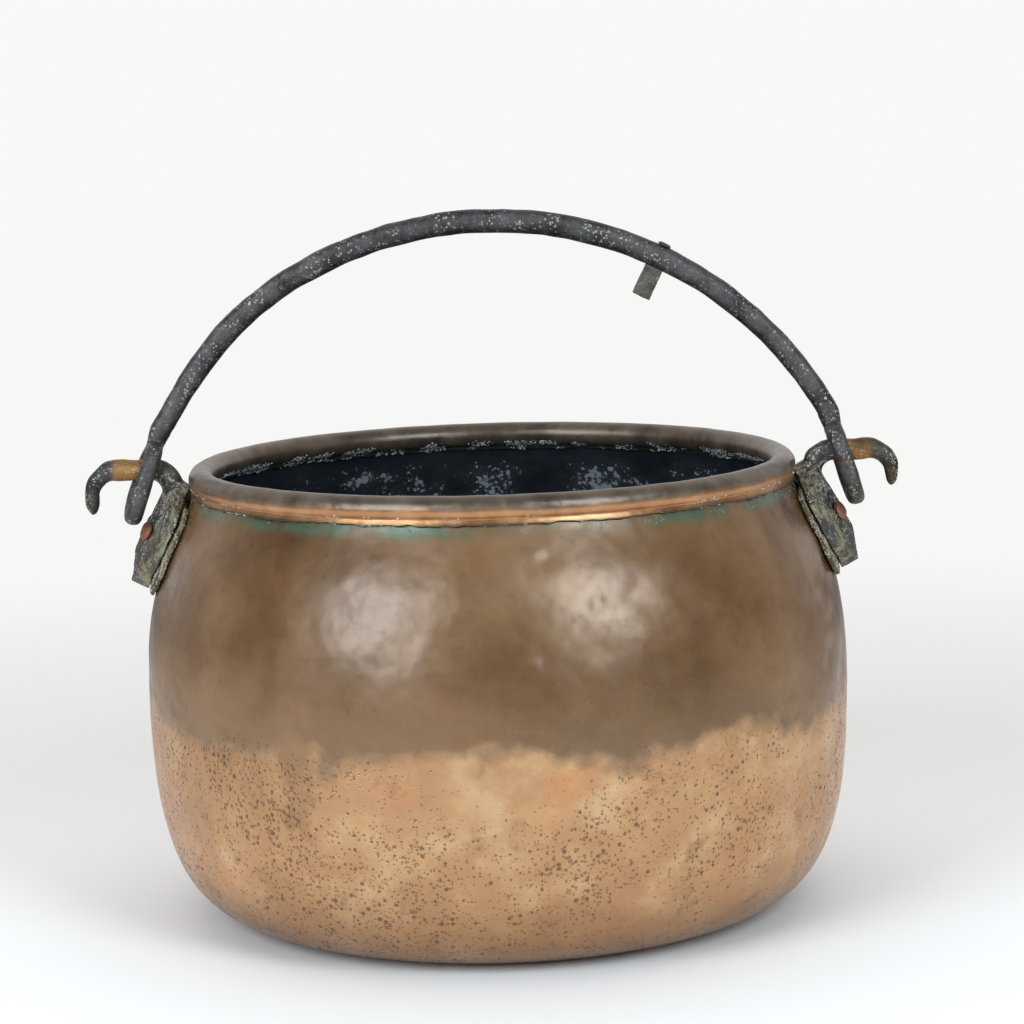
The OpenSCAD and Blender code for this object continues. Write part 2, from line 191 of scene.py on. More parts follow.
def copper_outside_finish():
    """Raised sheet copper: brown skin on the shoulder; below it scoured copper, painted bright partly as a
    reflection of the pale floor, and pitted.
    """
    material, nodes, shader, at = new_material("copper outside")
    place = nodes.apart(at)
    height = place[2]
    turn = nodes.math("ARCTAN2", place[0], nodes.math("MULTIPLY", place[1], -1.0))
    around = nodes.together(nodes.math("MULTIPLY", turn, 0.225), 0.0, height)

    # Edge of the brown skin, with tongues that run down. Below it the copper is painted gold: partly scoured
    # metal, partly a painted reflection of the pale floor.
    wander = nodes.noise(at, 9.0, 3.0, 0.55, 2.0)
    ragged = nodes.noise(at, 55.0, 4.0, 0.6, 5.0)
    level = nodes.math("ADD", height, nodes.math("MULTIPLY", nodes.math("SUBTRACT", wander, 0.5), 0.060))
    level = nodes.math("ADD", level, nodes.math("MULTIPLY", nodes.math("SUBTRACT", ragged, 0.5), 0.026))
    bright = nodes.span(level, 0.1450, 0.1305)

    cloud = nodes.noise(at, 10.0, 5.0, 0.6, 1.0)
    brown = nodes.ramp(cloud, (0.30, BROWN_DARK), (0.50, BROWN), (0.72, BROWN_PALE))
    mottle = nodes.noise(at, 90.0, 4.0, 0.65, 7.0)
    brown = nodes.mix(nodes.span(mottle, 0.5, 0.75, 0.0, 0.35), brown, BROWN_DARK)
    # Painted reflection of the far floor: the brown is lightened towards its lower edge.
    brown = nodes.mix(nodes.span(height, 0.200, 0.155, 0.0, 0.35), brown, BROWN_PALE)

    tarnish = nodes.noise(at, 22.0, 5.0, 0.62, 3.0)
    gold = nodes.ramp(tarnish, (0.30, GOLD_DEEP), (0.50, GOLD), (0.70, GOLD_PALE))
    warm = nodes.span(nodes.noise(at, 13.0, 3.0, 0.5, 11.0), 0.61, 0.74, 0.0, 0.45)
    gold = nodes.mix(warm, gold, ORANGE)
    foot_edge = nodes.math("ADD", height, nodes.math("MULTIPLY", ragged, 0.03))
    foot = nodes.span(foot_edge, 0.075, 0.016, 0.0, 0.75)
    gold = nodes.mix(foot, gold, shade(0.30, 0.175, 0.10))
    smudge = nodes.span(nodes.noise(at, 30.0, 4.0, 0.65, 15.0), 0.56, 0.70, 0.0, 0.50)
    gold = nodes.mix(smudge, gold, shade(0.30, 0.165, 0.085))

    colour = nodes.mix(bright, brown, gold)

    # Pits eaten by heat and use, thick below and sparse on the brown.
    crowd = nodes.noise(at, 12.0, 3.0, 0.6, 13.0)
    few = nodes.span(crowd, 0.30, 0.70, 0.26, 0.54)
    lower = nodes.span(height, 0.165, 0.125, 0.16, 1.0)
    fine = nodes.spots(at, 0.0033, nodes.math("MULTIPLY", few, lower), 21.0)
    coarse = nodes.spots(at, 0.0068, nodes.math("MULTIPLY", nodes.math("MULTIPLY", few, 0.36), lower), 27.0)
    dust = nodes.spots(at, 0.0018, nodes.math("MULTIPLY", few, nodes.math("MULTIPLY", lower, 1.3)), 33.0)
    pits = nodes.math("MAXIMUM", nodes.math("MAXIMUM", fine, coarse), nodes.math("MULTIPLY", dust, 0.75))
    colour = nodes.mix(nodes.math("MULTIPLY", pits, 0.70), colour, PIT)

    # Hairlines of wear, some upright and some level.
    upright = nodes.add("ShaderNodeMapping", {"Vector": around, "Scale": (1.0, 1.0, 0.05)}).outputs[0]
    level_cut = nodes.add("ShaderNodeMapping", {"Vector": around, "Scale": (0.06, 1.0, 1.0)}).outputs[0]
    hair = nodes.noise(upright, 520.0, 2.0, 0.6, 17.0)
    scour = nodes.noise(level_cut, 620.0, 2.0, 0.6, 19.0)
    lines = nodes.math("MAXIMUM", nodes.span(hair, 0.68, 0.80), nodes.span(scour, 0.70, 0.82))
    colour = nodes.mix(nodes.math("MULTIPLY", lines, 0.30), colour, shade(0.30, 0.16, 0.08))

    # Pale specks of scale on the brown.
    specks = nodes.spots(at, 0.0034, 0.10, 41.0, 0.10)
    colour = nodes.mix(nodes.math("MULTIPLY", specks, 0.55), colour, shade(0.42, 0.36, 0.28))

    # Green bloom under the rim.
    bloom_edge = nodes.math("ADD", height, nodes.math("MULTIPLY", ragged, 0.010))
    bloom = nodes.span(bloom_edge, 0.2672, 0.2735, 0.0, 0.85)
    patchy = nodes.span(nodes.noise(at, 20.0, 3.0, 0.6, 45.0), 0.42, 0.58, 0.15, 1.0)
    colour = nodes.mix(nodes.math("MULTIPLY", bloom, patchy), colour, VERDIGRIS)

    metal = nodes.math("MULTIPLY", nodes.span(bright, 0.0, 1.0, 0.22, 1.0),
                       nodes.span(pits, 0.0, 1.0, 1.0, 0.75))
    rough = nodes.math("ADD", nodes.span(cloud, 0.3, 0.7, 0.27, 0.36), nodes.math("MULTIPLY", pits, 0.25))
    rough = nodes.math("ADD", rough, nodes.span(mottle, 0.4, 0.7, -0.03, 0.07))
    swell = nodes.noise(at, 34.0, 2.0, 0.5, 51.0)
    grain = nodes.noise(at, 420.0, 3.0, 0.6, 53.0)
    sunk = nodes.math("MULTIPLY", pits, -1.0)
    finish_material(nodes, shader, colour, metal, rough,
                    ((swell, 0.55, 0.0022), (grain, 0.25, 0.00018), (sunk, 0.7, 0.00035),
                     (lines, -0.25, 0.0001)), {"Specular IOR Level": 0.75})
    return material


def tinned_inside_finish():
    """Old tinning gone nearly black, with a grey bloom of scale up the wall."""
    material, nodes, shader, at = new_material("tinned inside")
    height = nodes.apart(at)[2]
    cloud = nodes.noise(at, 14.0, 5.0, 0.62, 4.0)
    dark = nodes.ramp(cloud, (0.35, shade(0.010, 0.012, 0.016)), (0.70, shade(0.030, 0.034, 0.043)))
    band = nodes.math("MULTIPLY", nodes.span(height, 0.175, 0.215), nodes.span(height, 0.272, 0.250))
    patchy = nodes.span(nodes.noise(at, 24.0, 5.0, 0.68, 8.0), 0.32, 0.66)
    share = nodes.math("MULTIPLY", nodes.math("MULTIPLY", band, patchy), 0.95)
    scale = nodes.math("MAXIMUM", nodes.spots(at, 0.0044, share, 61.0), nodes.spots(at, 0.0022, share, 63.0))
    haze = nodes.math("MULTIPLY", nodes.math("MULTIPLY", band, patchy), 0.35)
    colour = nodes.mix(haze, dark, shade(0.13, 0.14, 0.15))
    colour = nodes.mix(nodes.math("MULTIPLY", scale, 0.8), colour, shade(0.40, 0.41, 0.42))
    rough = nodes.math("ADD", nodes.span(cloud, 0.3, 0.7, 0.42, 0.55), nodes.math("MULTIPLY", scale, 0.3))
    swell = nodes.noise(at, 40.0, 2.0, 0.5, 65.0)
    grain = nodes.noise(at, 300.0, 4.0, 0.6, 67.0)
    finish_material(nodes, shader, colour, 0.35, rough,
                    ((swell, 0.5, 0.002), (grain, 0.4, 0.0004), (scale, 0.5, 0.0003)))
    return material


def rim_copper_finish():
    """The folded rim: dulled brown on top; below the bead's crown orange that is partly rubbed copper and
    partly a painted reflection of the pale floor; painted shade along the lips.
    """
    material, nodes, shader, at = new_material("rim copper")
    place = nodes.apart(at)
    height = place[2]
    reach = nodes.reach(place)
    # Painted reflection: the lower outer face of the bead is painted orange as the pale floor would light
    # it, over partly rubbed copper; the top keeps the dull tone.
    wander = nodes.noise(at, 60.0, 4.0, 0.6, 2.0)
    shift = nodes.math("MULTIPLY", nodes.math("SUBTRACT", wander, 0.5), 0.006)
    low = nodes.span(nodes.math("ADD", height, shift), 0.2835, 0.2795)
    outer = nodes.span(reach, 0.186, 0.190)
    rubbed_and_floor_sheen = nodes.math("MULTIPLY", low, outer)
    cloud = nodes.noise(at, 45.0, 4.0, 0.6, 6.0)
    dull = nodes.ramp(cloud, (0.3, shade(0.070, 0.047, 0.031)), (0.7, shade(0.20, 0.148, 0.105)))
    # The orange of the lower bead: partly rubbed copper, partly a painted reflection of the floor.
    worn = nodes.ramp(cloud, (0.3, shade(0.38, 0.170, 0.072)), (0.7, shade(0.60, 0.33, 0.17)))
    colour = nodes.mix(rubbed_and_floor_sheen, dull, worn)
    nicks = nodes.math("MAXIMUM", nodes.spots(at, 0.0050, 0.26, 71.0), nodes.spots(at, 0.0026, 0.24, 73.0))
    colour = nodes.mix(nodes.math("MULTIPLY", nicks, 0.65), colour, shade(0.10, 0.055, 0.03))
    # Painted shade: the lips below the bead are darkened where the bead overhangs the wall; verdigris is
    # then patched over them.
    lip = nodes.span(height, 0.2745, 0.2715)
    ragged = nodes.span(nodes.noise(at, 130.0, 4.0, 0.65, 9.0), 0.42, 0.55)
    colour = nodes.mix(nodes.math("MULTIPLY", lip, 0.85), colour, shade(0.055, 0.045, 0.032))
    colour = nodes.mix(nodes.math("MULTIPLY", nodes.math("MULTIPLY", lip, ragged), 0.8), colour, VERDIGRIS)
    metal = nodes.span(rubbed_and_floor_sheen, 0.0, 1.0, 0.55, 1.0)
    rough = nodes.math("ADD", nodes.span(cloud, 0.3, 0.7, 0.30, 0.42), nodes.math("MULTIPLY", nicks, 0.2))
    grain = nodes.noise(at, 380.0, 3.0, 0.6, 75.0)
    dress = nodes.noise(at, 70.0, 2.0, 0.5, 77.0)
    finish_material(nodes, shader, colour, metal, rough,
                    ((dress, 0.5, 0.0012), (grain, 0.3, 0.0002),
                     (nodes.math("MULTIPLY", nicks, -1.0), 0.6, 0.0003)), {"Specular IOR Level": 0.7})
    return material


def iron_finish(name, base, pale, speck_share, rust, rust_share, seed, crust=0.0, bare=0.0):
    """Forged iron: dark scale, fine light speckle, rust where it rubs."""
    material, nodes, shader, at = new_material(name)
    height = nodes.apart(at)[2]
    cloud = nodes.noise(at, 70.0, 5.0, 0.62, seed)
    colour = nodes.ramp(cloud, (0.32, base), (0.68, pale))
    rubbed_and_floor_sheen = nodes.span(nodes.noise(at, 48.0, 4.0, 0.6, seed + 2.0), 0.62 - rust_share, 0.74 - rust_share)
    reach = nodes.math("ABSOLUTE", nodes.apart(at)[0])
    near = nodes.math("MULTIPLY", nodes.span(reach, 0.207, 0.222), nodes.span(height, 0.312, 0.296))
    rubbed_and_floor_sheen = nodes.math("MULTIPLY", rubbed_and_floor_sheen, nodes.span(near, 0.0, 1.0, 0.18, 1.0))
    colour = nodes.mix(rubbed_and_floor_sheen, colour, rust)
    bearing = nodes.math("MULTIPLY", nodes.span(height, 0.274, 0.282), nodes.span(reach, 0.221, 0.226))
    bearing = nodes.math("MULTIPLY", bearing, nodes.span(reach, 0.246, 0.238))
    colour = nodes.mix(nodes.math("MULTIPLY", bearing, bare), colour, shade(0.38, 0.19, 0.058))
    fine = nodes.spots(at, 0.0016, speck_share, seed + 4.0, 0.15)
    clustered = nodes.span(nodes.noise(at, 75.0, 3.0, 0.6, seed + 6.0), 0.40, 0.60, 0.15, 1.0)
    specks = nodes.math("MULTIPLY", fine, clustered)
    colour = nodes.mix(nodes.math("MULTIPLY", specks, 0.85), colour, shade(0.42, 0.40, 0.33))
    if crust:
        # Cream limescale where the iron meets the copper.
        out_share, up_share = 0.8788, 0.4770
        depth = nodes.math("ADD", nodes.math("MULTIPLY", reach, out_share),
                           nodes.math("MULTIPLY", height, up_share))
        patch = nodes.noise(at, 85.0, 4.0, 0.65, seed + 8.0)
        uneven = nodes.math("SUBTRACT", depth, nodes.math("MULTIPLY", patch, 0.012))
        close = nodes.span(uneven, 0.3035, 0.2965)
        stain = nodes.span(nodes.noise(at, 65.0, 3.0, 0.6, seed + 9.0), 0.52, 0.62)
        colour = nodes.mix(nodes.math("MULTIPLY", stain, 0.7), colour, shade(0.085, 0.048, 0.020))
        caked = nodes.math("MULTIPLY", close, nodes.span(patch, 0.46, 0.60))
        colour = nodes.mix(nodes.math("MULTIPLY", caked, crust), colour, shade(0.40, 0.36, 0.20))
        root = nodes.math("MULTIPLY", nodes.span(height, 0.246, 0.256), nodes.span(height, 0.287, 0.280))
        flecks = nodes.math("MULTIPLY", nodes.spots(at, 0.0021, 0.75, seed + 14.0, 0.15), root)
        flecks = nodes.math("MULTIPLY", flecks, nodes.span(reach, 0.226, 0.219))
        colour = nodes.mix(nodes.math("MULTIPLY", flecks, 0.8), colour, shade(0.48, 0.45, 0.36))
    rough = nodes.span(cloud, 0.3, 0.7, 0.46, 0.62)
    pitted = nodes.noise(at, 260.0, 4.0, 0.66, seed + 10.0)
    grain = nodes.noise(at, 900.0, 2.0, 0.5, seed + 12.0)
    metal = nodes.span(rubbed_and_floor_sheen, 0.0, 1.0, 0.72, 0.35)
    finish_material(nodes, shader, colour, metal, rough,
                    ((pitted, 0.85, 0.0008), (grain, 0.35, 0.00015)))
    return material


def plain_crust_finish(name, dark, pale, scale, seed):
    """Crumbs of scale or bloom, each a little different."""
    material, nodes, shader, at = new_material(name)
    cloud = nodes.noise(at, scale, 4.0, 0.6, seed)
    colour = nodes.ramp(cloud, (0.35, dark), (0.65, pale))
    grain = nodes.noise(at, 1500.0, 2.0, 0.5, seed + 1.0)
    finish_material(nodes, shader, colour, 0.0, nodes.span(cloud, 0.3, 0.7, 0.75, 0.92),
                    ((grain, 0.5, 0.0002),))
    return material


def plate_finish():
    """Packing plate: dark olive-brown sheet with a limed edge."""
    material, nodes, shader, at = new_material("packing plate")
    cloud = nodes.noise(at, 90.0, 5.0, 0.65, 3.0)
    colour = nodes.ramp(cloud, (0.30, shade(0.035, 0.030, 0.020)), (0.52, shade(0.085, 0.070, 0.040)),
                        (0.70, shade(0.30, 0.26, 0.14)))
    green = nodes.span(nodes.noise(at, 60.0, 3.0, 0.6, 5.0), 0.56, 0.68, 0.0, 0.6)
    colour = nodes.mix(green, colour, shade(0.13, 0.17, 0.10))
    pitted = nodes.noise(at, 330.0, 4.0, 0.65, 7.0)
    finish_material(nodes, shader, colour, 0.15, nodes.span(cloud, 0.3, 0.7, 0.6, 0.85),
                    ((pitted, 0.8, 0.0007),))
    return material


copper_outside = copper_outside_finish()
tinned_inside = tinned_inside_finish()
rim_copper = rim_copper_finish()
bail_iron = iron_finish("bail iron", shade(0.036, 0.031, 0.031), shade(0.135, 0.120, 0.115), 0.58,
                        shade(0.16, 0.085, 0.035), 0.05, 100.0)
lug_iron = iron_finish("lug iron", shade(0.030, 0.026, 0.028), shade(0.13, 0.122, 0.122), 0.55,
                       shade(0.13, 0.070, 0.032), 0.03, 200.0, 0.75, 0.9)
peg_iron = iron_finish("peg iron", shade(0.050, 0.045, 0.036), shade(0.15, 0.135, 0.11), 0.40,
                       shade(0.15, 0.08, 0.04), 0.10, 300.0)
rivet_copper = iron_finish("rivet copper", shade(0.16, 0.062, 0.033), shade(0.34, 0.15, 0.085), 0.25,
                           shade(0.10, 0.05, 0.03), 0.0, 400.0)
rim_iron = iron_finish("rim iron", shade(0.05, 0.045, 0.042), shade(0.12, 0.10, 0.09), 0.2,
                       shade(0.16, 0.08, 0.04), 0.10, 500.0)
packing_plate = plate_finish()
verdigris = plain_crust_finish("verdigris crumbs", shade(0.045, 0.10, 0.07), VERDIGRIS_PALE, 150.0, 1.0)
limescale = plain_crust_finish("limescale crumbs", shade(0.30, 0.25, 0.15),
                               shade(0.66, 0.60, 0.44), 150.0, 2.0)
tin_scale = plain_crust_finish("tin scale crumbs", shade(0.20, 0.20, 0.20),
                               shade(0.60, 0.60, 0.58), 150.0, 3.0)


# ---------------------------------------------------------------- tree helpers
def new_tree(name, *sizes):
    """A geometry tree with a Geometry input and output and the named sizes."""
    tree = bpy.data.node_groups.new(name, "GeometryNodeTree")
    tree.interface.new_socket("Geometry", in_out="INPUT", socket_type="NodeSocketGeometry")
    tree.interface.new_socket("Geometry", in_out="OUTPUT", socket_type="NodeSocketGeometry")
    for label, kind, value in sizes:
        item = tree.interface.new_socket(label, in_out="INPUT", socket_type="NodeSocket" + kind)
        if value is not None:
            item.default_value = value
    nodes = Nodes(tree)
    given = nodes.add("NodeGroupInput").outputs
    return tree, nodes, given


def end_tree(nodes, geometry, material):
    whole = nodes.add("GeometryNodeRealizeInstances", {"Geometry": geometry}).outputs[0]
    painted = nodes.add("GeometryNodeSetMaterial", {"Geometry": whole, "Material": material}).outputs[0]
    out = nodes.add("NodeGroupOutput")
    nodes.put(out.inputs[0], painted)


def new_object(name, data=None):
    obj = bpy.data.objects.new(name, data or bpy.data.meshes.new(name))
    bpy.context.scene.collection.objects.link(obj)
    return obj


def grow(name, tree, values, mesh=None):
    """Runs a tree on a new object and keeps the result as its plain mesh."""
    obj = new_object(name, mesh)
    step = obj.modifiers.new("tree", "NODES")
    step.node_group = tree
    for item in tree.interface.items_tree:
        if item.in_out == "INPUT" and item.name in values:
            step[item.identifier] = values[item.name]
    bake_steps(obj)
    return obj


def bake_steps(obj):
    """The evaluated mesh replaces the object's own, and its modifiers go."""
    bpy.context.view_layer.update()
    seen = obj.evaluated_get(bpy.context.evaluated_depsgraph_get())
    mesh = bpy.data.meshes.new_from_object(seen)
    obj.modifiers.clear()
    obj.data = mesh
    mesh.name = obj.name
    finishes = [finish for finish in mesh.materials if finish]
    if 0 < len(finishes) < len(mesh.materials):
        mesh.materials.clear()
        mesh.materials.append(finishes[0])
        mesh.polygons.foreach_set("material_index", [0] * len(mesh.polygons))


def points_of(mesh):
    spots = np.empty(len(mesh.vertices) * 3)
    mesh.vertices.foreach_get("co", spots)
    return spots.reshape(-1, 3)


def put_points(mesh, spots):
    mesh.vertices.foreach_set("co", spots.reshape(-1))
    mesh.update()


def smooth_shaded(mesh):
    mesh.polygons.foreach_set("use_smooth", [True] * len(mesh.polygons))


def guide(name, rows, closed=False, radii=None):
    """A poly curve of several rows of points, used only to steer a tree."""
    curve = bpy.data.curves.new(name, "CURVE")
    curve.dimensions = "3D"
    for n, row in enumerate(rows):
        line = curve.splines.new("POLY")
        line.points.add(len(row) - 1)
        line.use_cyclic_u = closed[n] if closed else False
        for k, spot in enumerate(row):
            line.points[k].co = (*spot, 1.0)
            line.points[k].radius = radii[n][k] if radii else 1.0
    return new_object(name, curve)


def spoken(sizes):
    """The sizes under the names that the trees' inputs have."""
    return {key.replace("_", " ").capitalize(): value for key, value in sizes.items()}


def drop(*objs):
    for obj in objs:
        bpy.data.objects.remove(obj, do_unlink=True)


# ---------------------------------------------------------------- turned sheet
def turned_tree():
    """A section turned round the Z axis, with the unevenness of hammered sheet."""
    tree, nodes, given = new_tree(
        "turned sheet", ("Section", "Object", None), ("Rows", "Int", 100), ("Segments", "Int", 360),
        ("Hammer depth", "Float", 0.0), ("Hammer size", "Float", 0.03), ("Sway depth", "Float", 0.0),
        ("Sway size", "Float", 0.15), ("Seed", "Float", 1.0), ("Finish", "Material", None))
    around = nodes.math("ADD", given["Segments"], 1.0)
    grid = nodes.add("GeometryNodeMeshGrid", {"Size X": 1.0, "Size Y": 1.0, "Vertices X": around,
                                              "Vertices Y": given["Rows"]}).outputs[0]
    spot = nodes.apart(nodes.add("GeometryNodeInputPosition").outputs[0])
    turn = nodes.math("MULTIPLY", nodes.math("ADD", spot[0], 0.5), 2.0 * math.pi)
    last = nodes.math("SUBTRACT", given["Rows"], 1.0)
    row = nodes.math("ROUND", nodes.math("MULTIPLY", nodes.math("ADD", spot[1], 0.5), last))
    section = nodes.add("GeometryNodeObjectInfo", {"Object": given["Section"]}).outputs["Geometry"]
    sample = nodes.add("GeometryNodeSampleIndex", data_type="FLOAT_VECTOR", domain="POINT")
    nodes.put(socket(sample.inputs, "Geometry"), section)
    nodes.put(socket(sample.inputs, "Value"), nodes.add("GeometryNodeInputPosition").outputs[0])
    nodes.put(socket(sample.inputs, "Index"), row)
    profile = nodes.apart(socket(sample.outputs, "Value"))
    east, north = nodes.math("COSINE", turn), nodes.math("SINE", turn)
    level = profile[2]
    base = nodes.together(nodes.math("MULTIPLY", profile[0], east),
                          nodes.math("MULTIPLY", profile[0], north), level)
    small = nodes.noise(base, nodes.math("DIVIDE", 1.0, given["Hammer size"]), 1.0, 0.4, given["Seed"])
    large = nodes.noise(base, nodes.math("DIVIDE", 1.0, given["Sway size"]), 1.0, 0.4,
                        nodes.math("ADD", given["Seed"], 5.0))
    sunk = nodes.math("ADD", nodes.math("MULTIPLY", small, given["Hammer depth"]),
                      nodes.math("MULTIPLY", large, given["Sway depth"]))
    least = nodes.math("MULTIPLY", nodes.math("ADD", given["Hammer depth"], given["Sway depth"]), 0.32)
    sunk = nodes.math("MAXIMUM", nodes.math("SUBTRACT", sunk, least), 0.0)
    sunk = nodes.math("MULTIPLY", sunk, nodes.span(level, 0.004, 0.030))
    inner = nodes.math("SUBTRACT", profile[0], sunk)
    moved = nodes.together(nodes.math("MULTIPLY", inner, east), nodes.math("MULTIPLY", inner, north), level)
    swept = nodes.add("GeometryNodeSetPosition", {"Geometry": grid, "Position": moved}).outputs[0]
    joined = nodes.add("GeometryNodeMergeByDistance", {"Geometry": swept, "Distance": 1e-6}).outputs[0]
    end_tree(nodes, joined, given["Finish"])
    return tree


turned = turned_tree()


def bezier(a, b, c, d, count):
    steps = np.linspace(0.0, 1.0, count)[:, None]
    a, b, c, d = (np.array(p, float) for p in (a, b, c, d))
    left = 1 - steps
    return left**3 * a + 3 * left**2 * steps * b + 3 * left * steps**2 * c + steps**3 * d


def beside(line, distance):
    """The line moved inwards by distance, square to itself."""
    along = np.gradient(line, axis=0)
    along /= np.linalg.norm(along, axis=1)[:, None]
    return line + distance * np.stack([-along[:, 1], along[:, 0]], axis=1)


# Sizes of the vessel and rim, in metres. The belly comes from its CAD node's box, and the rest follow
# the CAD, with the bead a touch fuller because the hammer only sinks it.
BELLY_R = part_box("vessel")[1][0]
BELLY_Z = 0.148
FOOT_R = 0.143
WALL = 0.002
LEAN = math.radians(24.6)
UP_NECK = np.array([-math.sin(LEAN), math.cos(LEAN)])
OUT_NECK = np.array([math.cos(LEAN), math.sin(LEAN)])
BEAD = np.array([0.1863, 0.281])
BEAD_R = 0.00815

neck_foot = BEAD - 0.0129 * UP_NECK + 0.5 * WALL * OUT_NECK
neck_top = BEAD - 0.0068 * UP_NECK + 0.5 * WALL * OUT_NECK


def vessel_section():
    """Rows from the middle of the base up the outside, over the edge and down the inside."""
    base = np.stack([np.linspace(0.0, FOOT_R, 12), np.zeros(12)], axis=1)
    foot = bezier((FOOT_R, 0), (0.2053, 0), (BELLY_R, 0.036), (BELLY_R, BELLY_Z), 84)
    shoulder = bezier((BELLY_R, BELLY_Z), (BELLY_R, 0.2287), neck_foot - 0.0241 * UP_NECK, neck_foot, 68)
    neck = np.linspace(neck_foot, neck_top, 5)
    outside = np.concatenate([base[:-1], foot[:-1], shoulder[:-1], neck])
    wall_part = np.concatenate([foot[:-1], shoulder[:-1], neck])
    inside = beside(wall_part, WALL)[::-1]
    inside = np.concatenate([inside[:6], inside[6::3]])
    floor = np.stack([np.linspace(FOOT_R, 0.0, 8), np.full(8, WALL)], axis=1)
    inside = inside[inside[:, 1] > WALL + 1e-5]
    return np.concatenate([outside, inside, floor])


def rim_section():
    """Rows round the folded strip: up the outer lip, over the bead, down the inner lip and back."""
    lip, half, skin = 0.0122, 0.00285, 0.00105
    low = BEAD - lip * UP_NECK
    start = math.asin(-math.sqrt(BEAD_R**2 - half**2) / BEAD_R)
    turns = np.linspace(start, math.pi - start, 40)
    bead = [BEAD + BEAD_R * (math.cos(t) * OUT_NECK + math.sin(t) * UP_NECK) for t in turns]
    outer = [low + half * OUT_NECK + s * 0.0041 * UP_NECK for s in np.linspace(0.0, 1.0, 7)]
    inner = [low - half * OUT_NECK + s * 0.0041 * UP_NECK for s in np.linspace(1.0, 0.0, 7)]
    back = [low - skin * OUT_NECK, low - skin * OUT_NECK + 0.0060 * UP_NECK,
            low + skin * OUT_NECK + 0.0060 * UP_NECK, low + skin * OUT_NECK]
    return np.array(outer + bead + inner + back + [outer[0]])


def turned_piece(name, section, segments, finish, **sizes):
    line = guide(name + " section", [[(r, 0.0, z) for r, z in section]])
    values = {"Section": line, "Rows": len(section), "Segments": segments, "Finish": finish}
    obj = grow(name, turned, {**values, **spoken(sizes)})
    drop(line)
    smooth_shaded(obj.data)
    return obj


vessel = turned_piece("vessel_raised", vessel_section(), 384, copper_outside, hammer_depth=0.0008,
                      hammer_size=0.034, sway_depth=0.0014, sway_size=0.13, seed=3.0)


def dent(spots, azimuth, height, across, tall, depth, lean=0.0):
    """Pushes the wall in round one place. Azimuth runs from the front towards +X, in degrees."""
    turn = np.degrees(np.arctan2(spots[:, 0], -spots[:, 1]))
    away = np.radians((turn - azimuth + 180.0) % 360.0 - 180.0) * BELLY_R
    up = spots[:, 2] - height
    cosine, sine = math.cos(math.radians(lean)), math.sin(math.radians(lean))
    u, v = cosine * away + sine * up, cosine * up - sine * away
    pull = depth * np.exp(-((u / across) ** 2) - (v / tall) ** 2)
    reach = np.maximum(np.linalg.norm(spots[:, :2], axis=1), 1e-6)
    spots[:, 0] -= pull * spots[:, 0] / reach
    spots[:, 1] -= pull * spots[:, 1] / reach


def dent_vessel(mesh):
    spots = points_of(mesh)
    # Knocks on the front of the shoulder.
    dent(spots, 8.9, 0.2520, 0.0060, 0.0046, 0.0012)
    dent(spots, 15.9, 0.2265, 0.0055, 0.0055, 0.0014)
    dent(spots, 7.1, 0.1990, 0.0048, 0.0055, 0.0013)
    dent(spots, 15.6, 0.2000, 0.0120, 0.0100, 0.0006)
    dent(spots, 22.0, 0.2300, 0.0200, 0.0060, 0.0005, 35.0)
    dent(spots, 25.5, 0.2180, 0.0240, 0.0060, 0.0006, -30.0)
    dent(spots, -15.0, 0.2050, 0.0160, 0.0090, 0.0004, 20.0)
    dent(spots, -19.0, 0.2280, 0.0200, 0.0080, 0.0004, -15.0)
    dent(spots, 36.0, 0.1950, 0.0220, 0.0120, 0.0007)
    dent(spots, 42.0, 0.2250, 0.0160, 0.0140, 0.0006)
    # Soft hollows low on the belly.
    dent(spots, -5.9, 0.0800, 0.0100, 0.0070, 0.0011)
    dent(spots, 14.8, 0.0840, 0.0110, 0.0060, 0.0010)
    dent(spots, 43.2, 0.0864, 0.0085, 0.0100, 0.0012)
    dent(spots, 55.0, 0.0930, 0.0100, 0.0120, 0.0010)
    dent(spots, 61.0, 0.0850, 0.0070, 0.0100, 0.0010)
    dent(spots, 10.5, 0.0650, 0.0220, 0.0026, 0.0008, 6.0)
    dent(spots, -22.0, 0.0620, 0.0200, 0.0040, 0.0007, -8.0)
    dent(spots, 30.0, 0.0520, 0.0160, 0.0050, 0.0007, 12.0)
    # The sides and back have had the same use.
    picks = np.random.default_rng(7)
    for _ in range(46):
        azimuth = picks.uniform(66.0, 294.0)
        height = picks.uniform(0.045, 0.245)
        wide, tall = picks.uniform(0.006, 0.020), picks.uniform(0.005, 0.013)
        dent(spots, azimuth, height, wide, tall, picks.uniform(0.0006, 0.0018), picks.uniform(-40.0, 40.0))
    put_points(mesh, spots)


def line_inside(mesh):
    """The inner faces take the tinning."""
    mesh.materials.clear()
    for finish in (copper_outside, tinned_inside):
        mesh.materials.append(finish)
    middles = np.empty(len(mesh.polygons) * 3)
    facing = np.empty(len(mesh.polygons) * 3)
    mesh.polygons.foreach_get("center", middles)
    mesh.polygons.foreach_get("normal", facing)
    middles, facing = middles.reshape(-1, 3), facing.reshape(-1, 3)
    outwards = np.einsum("ij,ij->i", middles[:, :2], facing[:, :2])
    inner = (outwards < -1e-4) | ((facing[:, 2] > 0.7) & (middles[:, 2] < 0.1))
    mesh.polygons.foreach_set("material_index", inner.astype(int))


dent_vessel(vessel.data)
line_inside(vessel.data)
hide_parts("vessel")
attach(vessel, "pot")

rim = turned_piece("rim_folded", rim_section(), 720, rim_copper, hammer_depth=0.0004, hammer_size=0.016,
                   sway_depth=0.0010, sway_size=0.13, seed=9.0)


